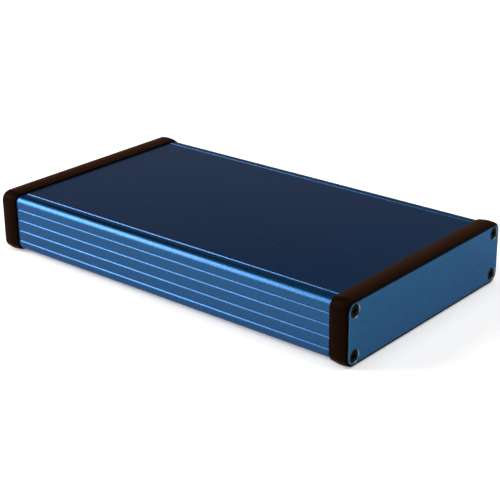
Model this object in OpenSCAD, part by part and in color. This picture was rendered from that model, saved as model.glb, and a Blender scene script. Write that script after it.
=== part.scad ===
// Extruded aluminium enclosure for circuit boards.
// A one-piece extrusion takes a slide-in cover. Each end is closed by a moulded
// bezel and a flat plate, held by four countersunk self-tapping screws.
// The length runs along X, the width along Y, and the bezels rest on z = 0.

/* [Extrusion] */
// Length of the extrusion
body_l = 220; // [80:1:300]
// Width of the extrusion
body_w = 124; // [90:0.5:180]
// Height of the extrusion
body_h = 29.6; // [28:0.1:60]
// Outer radius of the four long corners
corner_r = 4; // [3.8:0.1:4.8]
// Thickness of the floor and the sides
wall_t = 1.7; // [1.5:0.1:2]
// Inner bore of the screw channels in the corners
channel_d = 2.8; // [2.6:0.05:3]
// Outer diameter of the screw channels
channel_od = 6; // [5.4:0.1:6.4]
// Slit along each screw channel, open to the inside
channel_slit = 1.1; // [0.8:0.1:1.4]
// Offset of the screw channels inwards from the corner centres
channel_inset = 0.35; // [0.3:0.05:0.5]

/* [Side grooves] */
// Number of decorative grooves on each side
groove_count = 4; // [0:1:4]
// Distance between neighbouring grooves
groove_pitch = 5.8; // [4:0.1:5.8]
// Width of a groove at the surface
groove_w = 0.9; // [0.4:0.1:1.2]
// Depth of a groove
groove_d = 0.45; // [0.2:0.05:0.6]
// Shift of the group of grooves from mid-height
groove_shift = -0.45; // [-0.6:0.05:0.6]

/* [Board slots] */
// Number of ribs on each side, with a slot between each two
rib_count = 4; // [2:1:4]
// Distance between neighbouring ribs
rib_pitch = 3; // [2.8:0.1:3.2]
// Thickness of a rib, the rest of the pitch is the slot
rib_t = 1.2; // [1:0.1:1.3]
// How far a rib stands out from the side
rib_reach = 2.6; // [2:0.1:3]

/* [Slide cover] */
// Width of the strip of extrusion on each side of the cover
strip_w = 7; // [6.8:0.1:8]
// Thickness of the cover between its rails
cover_t = 1.8; // [1.5:0.1:2.4]
// Thickness of the strip above the tongue of the cover
lip_t = 1.3; // [1.1:0.05:1.4]
// How far the tongue of the cover reaches under the strip
tongue_w = 1.3; // [1:0.05:1.4]
// Thickness of the tongue
tongue_t = 1.1; // [0.9:0.05:1.2]
// Width of the thick rail along each edge of the cover
rail_w = 4; // [3:0.1:6]
// Clearance round the cover
slide_gap = 0.12; // [0.08:0.01:0.2]
// Chamfer on both edges of the seam
seam_chamfer = 0.4; // [0.2:0.05:0.6]
// Thickness of the shelf under the tongue
shelf_t = 1.2; // [1:0.1:1.4]
// How far the shelf reaches inwards past the seam
shelf_reach = 2.5; // [2:0.1:3.5]

/* [Bezels] */
// Length of extrusion that a bezel covers
bezel_grip = 7.85; // [6:0.05:12]
// Thickness of the bezel wall at the top of its crown
bezel_wall = 1.25; // [1.2:0.05:2.5]
// Thickness of the web between the extrusion and the end plate
web_t = 1; // [0.8:0.1:2]
// Width of the web along the walls
web_w = 2; // [1.8:0.1:2.6]
// Web left round each countersink
web_pad = 0.75; // [0.6:0.05:1]
// Clearance round the extrusion and round the end plate
fit_gap = 0.15; // [0.1:0.01:0.25]
// Place of the top of the crown, as a share of the depth of the bezel
crown_share = 0.6; // [0.4:0.05:0.7]
// Fall of the crown towards the extrusion
crown_drop_in = 0.75; // [0.3:0.05:0.9]
// Fall of the crown towards the end
crown_drop_out = 0.45; // [0.2:0.05:0.5]
// Radius between the crown and the end face
rim_r = 0.5; // [0.2:0.05:0.55]

/* [End plates] */
// Thickness of an end plate
plate_t = 1.5; // [1.2:0.1:2]
// How far a plate stands out past the rim of its bezel
plate_proud = 0.5; // [0:0.1:0.7]
// Difference between the height of the extrusion and that of a plate
plate_short = 0.6; // [0.4:0.1:1]
// Chamfer round the outer face of a plate
plate_chamfer = 0.2; // [0.1:0.05:0.4]

/* [Screws] */
// Diameter of a screw head
head_d = 6.2; // [5.8:0.1:6.4]
// Included angle of the head and of its countersink
head_angle = 82; // [80:1:90]
// Depth of the head below the face of the plate
head_sink = 0.45; // [0.1:0.05:0.5]
// Length of a screw with its head
screw_l = 12.7; // [8:0.1:20]
// Diameter of the shank
shank_d = 2.7; // [2.4:0.05:2.75]
// Length of the pointed tip
tip_l = 1.5; // [1:0.1:2]
// Width of a wing of the cross recess
cross_w = 0.95; // [0.7:0.05:1.1]
// Span of the cross recess
cross_span = 3.6; // [3:0.1:4]
// Depth of the cross recess
cross_depth = 1.9; // [1.2:0.1:2]

/* [Hidden] */
$fn = 64;
over = 1;                                             // overshoot of a cut past its face
anodised = [0.18, 0.35, 0.52];
plastic = [0.16, 0.1, 0.07];
screw_black = [0.12, 0.11, 0.11];

// Corner centres, shared by the extrusion and the bezels
corner_y = body_w / 2 - corner_r;
corner_z = body_h / 2 - corner_r;
channel_y = corner_y - channel_inset;
channel_z = corner_z;

// Slide cover, as heights above mid-height
cover_w = body_w - 2 * strip_w;
cover_top = body_h / 2;
tongue_top = cover_top - lip_t - slide_gap;
tongue_bottom = tongue_top - tongue_t;
slot_top = cover_top - lip_t;
slot_bottom = tongue_bottom - slide_gap;

// Bezel, with depths measured from its inner edge
bezel_depth = bezel_grip + web_t + plate_t - plate_proud;
crown_x = crown_share * bezel_depth;
crown_r = corner_r + fit_gap + bezel_wall;            // radius of the crown at a corner
bezel_h = body_h + 2 * (fit_gap + bezel_wall);
mid_z = bezel_h / 2;
web_x = body_l / 2;                                   // where the extrusion ends
plate_x = web_x + web_t;                              // back of an end plate
face_x = plate_x + plate_t;                           // outer face of an end plate

plate_r = corner_r - plate_short / 2;
plate_w = body_w;
plate_h = body_h - plate_short;

half_slope = tan(head_angle / 2);
sink_d = head_d + 2 * head_sink * half_slope;         // countersink at the face
hole_d = sink_d - 2 * plate_t * half_slope + 0.1;     // hole through the web
head_h = (head_d - shank_d) / 2 / half_slope;

// Lays a section drawn in width and height across the length, centred on x = 0
module along_x(length) {
    translate([-length / 2, 0, mid_z])
        rotate([90, 0, 90])
            linear_extrude(length) children();
}

// Repeats its children on both sides of the width of a section
module both_sides() {
    for (side = [0, 1]) mirror([side, 0]) children();
}

module rounded_rect(w, h, r) {
    square([w - 2 * r, h], center = true);
    square([w, h - 2 * r], center = true);
    for (sy = [-1, 1], sz = [-1, 1])
        translate([sy * (w / 2 - r), sz * (h / 2 - r)]) circle(r);
}

// Solid block whose edge has the section given, swept round a rounded rectangle.
// Each point of the section is [x, distance from the line of corner centres].
module edged_block(section, half_y, half_z) {
    top = max([for (p = section) p[0]]);
    low = min([for (p = section) p[0]]);
    translate([low, -half_y, -half_z]) cube([top - low, 2 * half_y, 2 * half_z]);
    for (turn = [0, 180]) rotate([turn, 0, 0]) {
        translate([0, half_y, half_z]) rotate([90, 0, 0])
            linear_extrude(2 * half_y) polygon(section);
        translate([0, half_y, -half_z]) linear_extrude(2 * half_z) polygon(section);
        for (side = [-1, 1])
            translate([0, side * half_y, half_z])
                rotate([0, 90, 0])
                    rotate_extrude(angle = 90, start = side > 0 ? 90 : 180)
                        polygon([for (p = section) [p[1], p[0]]]);
    }
}

// V-shaped groove along a side, with its mouth at the surface
module groove_section() {
    polygon([[over, -groove_w / 2 * (1 + over / groove_d)], [-groove_d, 0],
             [over, groove_w / 2 * (1 + over / groove_d)]]);
}

module extruded_body_section() {
    difference() {
        union() {
            difference() {
                rounded_rect(body_w, body_h, corner_r);
                translate([0, (wall_t - lip_t) / 2])
                    rounded_rect(body_w - 2 * wall_t, body_h - wall_t - lip_t, corner_r - wall_t);
            }
            both_sides() {
                for (sz = [-1, 1]) translate([channel_y, sz * channel_z]) circle(d = channel_od);
                translate([cover_w / 2 - shelf_reach, slot_bottom - shelf_t])
                    square([channel_y - cover_w / 2 + shelf_reach, shelf_t]);
                for (i = [0 : rib_count - 1])
                    translate([body_w / 2 - wall_t - rib_reach,
                               (i - (rib_count - 1) / 2) * rib_pitch - rib_t / 2])
                        square([rib_reach + over / 2, rib_t]);
            }
        }
        // mouth that the cover closes, and the slots for its tongues
        translate([-cover_w / 2, slot_bottom]) square([cover_w, body_h]);
        translate([-cover_w / 2 - tongue_w - slide_gap, slot_bottom])
            square([cover_w + 2 * (tongue_w + slide_gap), slot_top - slot_bottom]);
        both_sides() {
            translate([cover_w / 2, body_h / 2]) rotate(45)
                square(seam_chamfer * sqrt(2), center = true);
            for (sz = [-1, 1]) translate([channel_y, sz * channel_z]) {
                circle(d = channel_d);
                rotate(sz * 225) translate([0, -channel_slit / 2]) square([channel_od, channel_slit]);
            }
            if (groove_count > 0)
                for (i = [0 : groove_count - 1])
                    translate([body_w / 2, groove_shift + (i - (groove_count - 1) / 2) * groove_pitch])
                        groove_section();
        }
    }
}

module slide_cover_section() {
    edge = cover_w / 2 - slide_gap;
    half = [
        [edge - seam_chamfer, cover_top], [edge, cover_top - seam_chamfer],
        [edge, tongue_top], [edge + tongue_w, tongue_top],
        [edge + tongue_w, tongue_bottom], [edge - rail_w, tongue_bottom],
        [edge - rail_w, cover_top - cover_t]
    ];
    polygon(concat(half, [for (i = [len(half) - 1 : -1 : 0]) [-half[i][0], half[i][1]]]));
}

module extruded_body() {
    color(anodised) along_x(body_l) extruded_body_section();
}

module slide_cover() {
    color(anodised) along_x(body_l - 2 * slide_gap) slide_cover_section();
}

// Distance of the crown from the line of corner centres at depth x
function crown(x) = x < crown_x
    ? crown_r - crown_drop_in * pow((crown_x - x) / crown_x, 2)
    : crown_r - crown_drop_out * pow((x - crown_x) / (bezel_depth - crown_x), 2);

module bezel() {
    rim_x = bezel_depth - rim_r;
    section = concat(
        [[0, 0]],
        [for (i = [0 : 16]) let (x = rim_x * i / 16) [x, crown(x)]],
        [for (a = [15 : 15 : 90]) [rim_x + rim_r * sin(a), crown(rim_x) - rim_r * (1 - cos(a))]],
        [[bezel_depth, 0]]
    );
    window_w = 2 * (channel_y - sink_d / 2 - web_pad);
    side_h = 2 * (channel_z - sink_d / 2 - web_pad);
    translate([0, 0, mid_z]) difference() {
        translate([web_x - bezel_grip, 0, 0]) edged_block(section, corner_y, corner_z);
        // socket over the extrusion, and seat for the end plate
        translate([web_x - bezel_grip - over, 0, 0]) rotate([90, 0, 90])
            linear_extrude(bezel_grip + over)
                rounded_rect(body_w + 2 * fit_gap, body_h + 2 * fit_gap, corner_r + fit_gap);
        translate([plate_x, 0, 0]) rotate([90, 0, 90])
            linear_extrude(plate_t + over)
                rounded_rect(plate_w + 2 * fit_gap, plate_h + 2 * fit_gap, plate_r + fit_gap);
        // window through the web, with a pad left round each screw
        for (size = [[window_w, body_h - 2 * web_w], [body_w - 2 * web_w, side_h]])
            translate([web_x - over, -size[0] / 2, -size[1] / 2])
                cube([web_t + 2 * over, size[0], size[1]]);
        at_screws() translate([0, 0, -over]) cylinder(d = hole_d, h = web_t + 2 * over);
    }
}

// Places children on the four screw axes, pointing outwards from the end of the extrusion
module at_screws() {
    for (sy = [-1, 1], sz = [-1, 1])
        translate([web_x, sy * channel_y, sz * channel_z]) rotate([0, 90, 0]) children();
}

module end_plate() {
    section = [[0, 0], [0, plate_r], [plate_t - plate_chamfer, plate_r],
               [plate_t, plate_r - plate_chamfer], [plate_t, 0]];
    color(anodised) translate([0, 0, mid_z]) difference() {
        translate([plate_x, 0, 0])
            edged_block(section, plate_w / 2 - plate_r, plate_h / 2 - plate_r);
        at_screws() translate([0, 0, web_t - over]) {
            cylinder(d = hole_d, h = plate_t + 2 * over);
            translate([0, 0, over])
                cylinder(d1 = sink_d - 2 * plate_t * half_slope, d2 = sink_d, h = plate_t);
            translate([0, 0, over + plate_t]) cylinder(d = sink_d, h = over);
        }
    }
}

// Countersunk screw along X, its head flush with x = 0
module countersunk_screw() {
    color(screw_black) difference() {
        union() {
            rotate([0, -90, 0]) cylinder(d1 = head_d, d2 = shank_d, h = head_h);
            rotate([0, -90, 0]) cylinder(d = shank_d, h = screw_l - tip_l);
            translate([tip_l - screw_l, 0, 0]) rotate([0, -90, 0])
                cylinder(d1 = shank_d, d2 = shank_d / 2, h = tip_l);
        }
        for (turn = [0, 90]) rotate([turn, 0, 0])
            rotate([90, 0, 0]) translate([0, 0, -cross_w / 2]) linear_extrude(cross_w)
                polygon([[over, -cross_span / 2], [0, -cross_span / 2], [-cross_depth, -cross_w / 2],
                         [-cross_depth, cross_w / 2], [0, cross_span / 2], [over, cross_span / 2]]);
    }
}

module screw(end, back, top) {
    mirror([end < 0 ? 1 : 0, 0, 0])
        translate([face_x - head_sink, back * channel_y, mid_z + top * channel_z])
            countersunk_screw();
}

module left_bezel() { color(plastic) mirror([1, 0, 0]) bezel(); }
module right_bezel() { color(plastic) bezel(); }
module left_end_plate() { mirror([1, 0, 0]) end_plate(); }
module right_end_plate() { end_plate(); }

extruded_body();
slide_cover();
left_bezel();
right_bezel();
left_end_plate();
right_end_plate();
screw(-1, -1, 1);  // left_screw_front_top
screw(-1, -1, -1);  // left_screw_front_bottom
screw(-1, 1, 1);  // left_screw_back_top
screw(-1, 1, -1);  // left_screw_back_bottom
screw(1, -1, 1);  // right_screw_front_top
screw(1, -1, -1);  // right_screw_front_bottom
screw(1, 1, 1);  // right_screw_back_top
screw(1, 1, -1);  // right_screw_back_bottom
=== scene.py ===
import math

import bmesh
import bpy
from mathutils import Matrix, Vector


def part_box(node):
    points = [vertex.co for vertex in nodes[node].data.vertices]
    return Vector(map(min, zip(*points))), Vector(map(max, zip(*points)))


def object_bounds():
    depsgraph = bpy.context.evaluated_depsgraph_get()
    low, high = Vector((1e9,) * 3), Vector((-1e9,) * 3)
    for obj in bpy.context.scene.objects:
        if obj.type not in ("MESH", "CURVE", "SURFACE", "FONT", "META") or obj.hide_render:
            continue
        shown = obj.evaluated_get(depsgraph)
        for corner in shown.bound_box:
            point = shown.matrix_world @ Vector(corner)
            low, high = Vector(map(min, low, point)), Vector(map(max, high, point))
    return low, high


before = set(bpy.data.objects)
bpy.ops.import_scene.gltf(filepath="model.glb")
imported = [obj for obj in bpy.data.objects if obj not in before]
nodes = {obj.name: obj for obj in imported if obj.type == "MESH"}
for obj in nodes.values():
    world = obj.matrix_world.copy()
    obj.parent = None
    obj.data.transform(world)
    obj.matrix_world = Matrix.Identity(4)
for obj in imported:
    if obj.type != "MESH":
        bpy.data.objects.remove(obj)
cad_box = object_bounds()


# The extrusion and its slide-in cover. Both are aluminium pressed through a die, etched to a fine
# satin and dyed blue in the anodising bath. The die leaves faint lines along the length, and the
# cover slides into the two channels beside the strips of the top.

BODY_DYE = (0.0040, 0.048, 0.131), (0.0100, 0.076, 0.194)
BODY_SATIN = (0.33, 0.42)                             # roughness across the die lines
BODY_SEAL = 0.33                                      # weight of the clear skin over the dye
BODY_SEAL_ROUGHNESS = 0.25
BODY_ETCH_DEPTH = 0.00001
BODY_ETCH_STRENGTH = 0.3
EDGE_TINT = (0.25, 0.40, 0.60, 1)                     # the dye also colours what grazes the skin
ETCH_SCALE = 1000                                     # etched grains per metre
ETCH_DETAIL = 4
DIE_LINE_SCALE = 900
DIE_LINE_STRETCH = (0.012, 1, 1)                      # draws the lines out along the length
NOISE_ENDS = (0.3, 0.7)                               # nearly all of a noise lies between these
MIX_FACTOR, MIX_A, MIX_B, MIX_RESULT = 0, 6, 7, 2     # sockets of a Mix node that mixes colours


def new_material(name):
    """A new material: returns it, its node tree and its shader."""
    material = bpy.data.materials.new(name)
    material.use_nodes = True
    tree = material.node_tree
    shader = tree.nodes["Principled BSDF"]
    return material, tree, shader


def noise_on(tree, scale, stretch=(1, 1, 1), detail=2):
    """Noise on the piece's own coordinates, with scale in features per metre."""
    place = tree.nodes.new("ShaderNodeTexCoord")
    mapping = tree.nodes.new("ShaderNodeMapping")
    mapping.inputs["Scale"].default_value = stretch
    noise = tree.nodes.new("ShaderNodeTexNoise")
    noise.inputs["Scale"].default_value = scale
    noise.inputs["Detail"].default_value = detail
    tree.links.new(place.outputs["Object"], mapping.inputs["Vector"])
    tree.links.new(mapping.outputs["Vector"], noise.inputs["Vector"])
    return noise.outputs["Fac"]


def colour_mix(tree, factor):
    """A node that goes from its colour A to its colour B by a factor."""
    mix = tree.nodes.new("ShaderNodeMix")
    mix.data_type = "RGBA"
    tree.links.new(factor, mix.inputs[MIX_FACTOR])
    return mix


def spread(tree, factor, low, high, at=NOISE_ENDS):
    """Spreads a factor from low to high, two numbers or two colours, reached at those values of it."""
    ramp = tree.nodes.new("ShaderNodeMapRange")
    tree.links.new(factor, ramp.inputs["Value"])
    ramp.inputs["From Min"].default_value, ramp.inputs["From Max"].default_value = at
    if isinstance(low, tuple):
        mix = colour_mix(tree, ramp.outputs["Result"])
        mix.inputs[MIX_A].default_value = (*low, 1)
        mix.inputs[MIX_B].default_value = (*high, 1)
        return mix.outputs[MIX_RESULT]
    ramp.inputs["To Min"].default_value, ramp.inputs["To Max"].default_value = low, high
    return ramp.outputs["Result"]


def anodise(tree, shader, colour, roughness, seal, seal_roughness):
    """Dyed aluminium of that colour and roughness, under the clear skin that seals the dye."""
    tree.links.new(colour, shader.inputs["Base Color"])
    tree.links.new(roughness, shader.inputs["Roughness"])
    shader.inputs["Metallic"].default_value = 1.0
    shader.inputs["Specular Tint"].default_value = EDGE_TINT
    shader.inputs["Coat Weight"].default_value = seal
    shader.inputs["Coat Roughness"].default_value = seal_roughness


def relief(tree, shader, height, depth, strength):
    """Raises the surface by a noise of that depth in metres, taken at that strength."""
    bump = tree.nodes.new("ShaderNodeBump")
    bump.inputs["Strength"].default_value = strength
    bump.inputs["Distance"].default_value = depth
    tree.links.new(height, bump.inputs["Height"])
    tree.links.new(bump.outputs["Normal"], shader.inputs["Normal"])


def finish_node(name, material):
    """Gives a piece of the frame its finish."""
    piece = nodes[name]
    piece.data.materials.clear()
    piece.data.materials.append(material)


anodised, tree, shader = new_material("anodised_extrusion")
etch = noise_on(tree, ETCH_SCALE, detail=ETCH_DETAIL)
die_lines = noise_on(tree, DIE_LINE_SCALE, stretch=DIE_LINE_STRETCH)
colour = spread(tree, etch, *BODY_DYE)
satin = spread(tree, die_lines, *BODY_SATIN)
anodise(tree, shader, colour, satin, BODY_SEAL, BODY_SEAL_ROUGHNESS)
relief(tree, shader, etch, BODY_ETCH_DEPTH, BODY_ETCH_STRENGTH)
finish_node("extruded_body", anodised)
finish_node("slide_cover", anodised)


# The end plates. Each is cut from rolled aluminium sheet and dyed in the same bath, so it has no
# die lines. A lighter band along its outline is a painted highlight of its chamfered edge, and its
# four bored countersinks are brighter and take less of the dye.

PLATE_DYE = (0.0095, 0.074, 0.170), (0.0165, 0.101, 0.218)
PLATE_SATIN = (0.38, 0.46)                            # roughness across the cloudy rolled sheet
PLATE_SEAL = 0.25
PLATE_SEAL_ROUGHNESS = 0.22
PLATE_ETCH_DEPTH = 0.000015
PLATE_ETCH_STRENGTH = 0.5
ROLLED_SCALE = 60                                     # cloudy patches per metre
PLATE_CORNER_R = 0.0037                               # the rounding of the plate's corners
# A lighter band along the plate's outline: painted highlight where the chamfered edge catches light.
PAINTED_EDGE_HIGHLIGHT = (0.030, 0.115, 0.200)
PAINTED_EDGE_HIGHLIGHT_W = 0.0004                                   # width of the painted highlight along the outline
BORE_DYE = (0.15, 0.20, 0.26)
BORE_R = 0.0034                                       # paler metal inside this radius
BORE_FADE = 0.0001                                    # the bore's colour fades out over this
ACROSS = (0, 1, 1)                                    # keeps the two directions of an end face


def corners(box):
    """The lowest and highest corners of a box, as vectors."""
    lowest, highest = box
    return Vector(lowest), Vector(highest)


def over(tree, below, colour, mask):
    """Lays a colour over another where the mask is 1."""
    mix = colour_mix(tree, mask)
    mix.inputs[MIX_B].default_value = (*colour, 1)
    tree.links.new(below, mix.inputs[MIX_A])
    return mix.outputs[MIX_RESULT]


def vector_step(tree, operation, source, other=None):
    """One step of vector arithmetic on a vector of the shader, with other as its second value."""
    step = tree.nodes.new("ShaderNodeVectorMath")
    step.operation = operation
    tree.links.new(source, step.inputs[0])
    if other is not None:
        step.inputs[1].default_value = other
    return step.outputs["Value" if operation == "LENGTH" else "Vector"]


def from_point(tree, point, centre):
    """Coordinates folded into one quarter of the end face, measured from a point of it."""
    place = tree.nodes.new("ShaderNodeTexCoord").outputs["Object"]
    flat = vector_step(tree, "MULTIPLY", place, ACROSS)
    folded = vector_step(tree, "ABSOLUTE", vector_step(tree, "SUBTRACT", flat, centre))
    return vector_step(tree, "SUBTRACT", folded, point)


plate_low, plate_high = corners(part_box("right_end_plate"))
plate_mid = (plate_low + plate_high) / 2
plate_half = (plate_high - plate_low) / 2
screw_low, screw_high = corners(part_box("right_screw_back_top"))
screw_axis = (screw_low + screw_high) / 2
face_centre = (0, plate_mid.y, plate_mid.z)
corner_centre = (0, plate_half.y - PLATE_CORNER_R, plate_half.z - PLATE_CORNER_R)
screw_centre = (0, screw_axis.y - plate_mid.y, screw_axis.z - plate_mid.z)

plate_finish, tree, shader = new_material("anodised_plate")
etch = noise_on(tree, ETCH_SCALE, detail=ETCH_DETAIL)
colour = spread(tree, etch, *PLATE_DYE)
# All along the plate's outline, the distance beyond the corners' centres is the corner radius.
beyond = vector_step(tree, "MAXIMUM", from_point(tree, corner_centre, face_centre), (0, 0, 0))
painted_edge_highlight_mask = spread(tree, vector_step(tree, "LENGTH", beyond), 0.0, 1.0,
                  (PLATE_CORNER_R - PAINTED_EDGE_HIGHLIGHT_W, PLATE_CORNER_R - PAINTED_EDGE_HIGHLIGHT_W / 2))
from_screw = vector_step(tree, "LENGTH", from_point(tree, screw_centre, face_centre))
bore = spread(tree, from_screw, 1.0, 0.0, (BORE_R, BORE_R + BORE_FADE))
# Painted highlight: the plate's outline laid lighter over the dye.
colour = over(tree, colour, PAINTED_EDGE_HIGHLIGHT, painted_edge_highlight_mask)
colour = over(tree, colour, BORE_DYE, bore)
satin = spread(tree, noise_on(tree, ROLLED_SCALE), *PLATE_SATIN)
anodise(tree, shader, colour, satin, PLATE_SEAL, PLATE_SEAL_ROUGHNESS)
relief(tree, shader, etch, PLATE_ETCH_DEPTH, PLATE_ETCH_STRENGTH)
for end in ("left", "right"):
    finish_node(end + "_end_plate", plate_finish)


# The bezels. Each is one moulding of brown-black plastic with a crowned edge, pushed over the end
# of the extrusion. The mould is lightly sparked, so the skin has a low sheen. Both edges of the
# crown are painted darker, a painted shade for the gaps where the skin turns in towards the metal.

MOULDED_BROWN = (0.0038, 0.0011, 0.0004), (0.0058, 0.0018, 0.0007)
MOULDED_CLOUD_SCALE = 120                             # faint patches of the plastic per metre
# Both edges of the crown are painted darker: painted shade in the gaps beside the plate and the
# extrusion.
PAINTED_SHADE_BROWN = (0.0010, 0.0008, 0.0008)
PAINTED_SHADE_W = 0.0008                                      # width of the painted shade at both edges of the crown
MOULDED_GLOSS = 0.012
MOULDED_GLOSS_TINT = (1.0, 0.5, 0.3, 1)
SPARK_SCALE = 2600                                    # sparked pits per metre
SPARK_SATIN = (0.38, 0.5)                             # roughness from pit to pit
SPARK_DEPTH = 0.00002
SPARK_STRENGTH = 0.6
SHEEN = 0.12
SHEEN_ROUGHNESS = 0.35
SHEEN_TINT = (1.0, 0.30, 0.08, 1)
ALONG = (1, 0, 0)                                     # keeps the direction of the length

moulded, tree, shader = new_material("moulded_plastic")
spark = noise_on(tree, SPARK_SCALE)
colour = spread(tree, noise_on(tree, MOULDED_CLOUD_SCALE), *MOULDED_BROWN)
bezel_low, bezel_high = corners(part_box("right_bezel"))
place = tree.nodes.new("ShaderNodeTexCoord").outputs["Object"]
from_middle = vector_step(tree, "LENGTH", vector_step(tree, "MULTIPLY", place, ALONG))
outer_painted_shade = spread(tree, from_middle, 0.0, 1.0, (bezel_high.x - PAINTED_SHADE_W, bezel_high.x - PAINTED_SHADE_W / 2))
inner_painted_shade = spread(tree, from_middle, 1.0, 0.0, (bezel_low.x + PAINTED_SHADE_W / 2, bezel_low.x + PAINTED_SHADE_W))
# Painted shade: darkens the crown's outer edge by the plate and its inner edge by the extrusion.
for painted_shade in (outer_painted_shade, inner_painted_shade):
    colour = over(tree, colour, PAINTED_SHADE_BROWN, painted_shade)
tree.links.new(colour, shader.inputs["Base Color"])
tree.links.new(spread(tree, spark, *SPARK_SATIN), shader.inputs["Roughness"])
shader.inputs["Specular IOR Level"].default_value = MOULDED_GLOSS
shader.inputs["Specular Tint"].default_value = MOULDED_GLOSS_TINT
shader.inputs["Sheen Weight"].default_value = SHEEN
shader.inputs["Sheen Roughness"].default_value = SHEEN_ROUGHNESS
shader.inputs["Sheen Tint"].default_value = SHEEN_TINT
relief(tree, shader, spark, SPARK_DEPTH, SPARK_STRENGTH)
for end in ("left", "right"):
    finish_node(end + "_bezel", moulded)


# The screws. Each is a No. 6 self-tapping screw with a countersunk head and a cross recess, in
# steel with a black oxide finish, driven through the plate and bezel into the screw channel.

OXIDE_BLACK = (0.002, 0.0018, 0.0018), (0.007, 0.006, 0.006)
OXIDE_SATIN = (0.26, 0.40)                            # roughness from fresh to worn
OXIDE_METAL = 0.7
OXIDE_GLOSS = 0.15
OXIDE_GLOSS_TINT = (0.2, 0.2, 0.2, 1)
WEAR_SCALE = 1800                                     # worn spots per metre
WEAR_DETAIL = 3
WEAR_DEPTH = 0.00001
WEAR_STRENGTH = 0.4

oxide, tree, shader = new_material("black_oxide")
wear = noise_on(tree, WEAR_SCALE, detail=WEAR_DETAIL)
tree.links.new(spread(tree, wear, *OXIDE_BLACK), shader.inputs["Base Color"])
tree.links.new(spread(tree, wear, *OXIDE_SATIN), shader.inputs["Roughness"])
shader.inputs["Metallic"].default_value = OXIDE_METAL
shader.inputs["Specular IOR Level"].default_value = OXIDE_GLOSS
shader.inputs["Specular Tint"].default_value = OXIDE_GLOSS_TINT
relief(tree, shader, wear, WEAR_DEPTH, WEAR_STRENGTH)
for name in nodes:
    if "_screw_" in name:
        finish_node(name, oxide)


# The studio floor. It is a wide sheet of matt white paper under the enclosure, and it glows a
# little, so that the enclosure's shadow stays faint.

FLOOR_HALF = 6.0
PAPER_WHITE = (0.84, 0.84, 0.84, 1)
PAPER_ROUGHNESS = 0.9
PAPER_GLOW = (1.0, 1.0, 1.0, 1)
PAPER_GLOW_STRENGTH = 0.30

sheet = bmesh.new()
bmesh.ops.create_grid(sheet, x_segments=1, y_segments=1, size=FLOOR_HALF)
floor_mesh = bpy.data.meshes.new("floor")
sheet.to_mesh(floor_mesh)
sheet.free()
floor = bpy.data.objects.new("floor", floor_mesh)
bpy.context.scene.collection.objects.link(floor)
paper, tree, shader = new_material("paper")
shader.inputs["Base Color"].default_value = PAPER_WHITE
shader.inputs["Roughness"].default_value = PAPER_ROUGHNESS
shader.inputs["Emission Color"].default_value = PAPER_GLOW
shader.inputs["Emission Strength"].default_value = PAPER_GLOW_STRENGTH
shader.inputs["Specular IOR Level"].default_value = 0.0
floor_mesh.materials.append(paper)


# The studio lights and surround. Two soft lights at the near left shine in the rounded edge of the
# top, and a large one hangs overhead. The surround is bright at the horizon, as a sweep of white
# paper is, and dark overhead.

HORIZON = (0.62, 0.59, 0.58)
OVERHEAD = (0.015, 0.015, 0.02)
HORIZON_TO_OVERHEAD = (0.27, 0.41)                    # heights, from 0 level to 1 straight up

low, high = corners(cad_box)
middle = (low + high) / 2


def soft_light(name, place, size, power):
    """A soft rectangular light, turned to the middle of the enclosure, with its power in watts."""
    data = bpy.data.lights.new(name, "AREA")
    data.shape = "RECTANGLE"
    data.size, data.size_y = size
    data.energy = power
    lamp = bpy.data.objects.new(name, data)
    lamp.location = place
    lamp.rotation_euler = (middle - Vector(place)).to_track_quat("-Z", "Y").to_euler()
    bpy.context.scene.collection.objects.link(lamp)


soft_light("key", place=(-1.12, -0.88, 0.66), size=(0.9, 0.6), power=20)
soft_light("high_key", place=(-0.95, -0.68, 1.0), size=(0.45, 0.45), power=8)
soft_light("top", place=(0.5, 0.6, 2.2), size=(2.4, 2.4), power=50)

world = bpy.data.worlds.new("surround")
world.use_nodes = True
tree = world.node_tree
direction = tree.nodes.new("ShaderNodeTexCoord")
height = tree.nodes.new("ShaderNodeSeparateXYZ")
tree.links.new(direction.outputs["Generated"], height.inputs["Vector"])
sky = spread(tree, height.outputs["Z"], HORIZON, OVERHEAD, HORIZON_TO_OVERHEAD)
tree.links.new(sky, tree.nodes["Background"].inputs["Color"])
bpy.context.scene.world = world
bpy.context.scene.view_settings.view_transform = "Standard"


# The camera. It stands at the near right and looks down by about 22 degrees on the middle of the
# enclosure, through a long lens and with a slight roll.

LENS_MM = 95.965
SENSOR_MM = 36.0
EYE = Vector((0.41189, -0.48162, 0.26910))
LOOK_AT = Vector((0.00480, 0.00007, 0.00888))
ROLL_DEGREES = -0.548

camera_data = bpy.data.cameras.new("camera")
camera_data.lens = LENS_MM
camera_data.sensor_width = SENSOR_MM
camera = bpy.data.objects.new("camera", camera_data)
roll = Matrix.Rotation(math.radians(ROLL_DEGREES), 3, "Z")
turn = (LOOK_AT - EYE).to_track_quat("-Z", "Y").to_matrix() @ roll
camera.matrix_world = Matrix.Translation(EYE) @ turn.to_4x4()
bpy.context.scene.collection.objects.link(camera)
bpy.context.scene.camera = camera
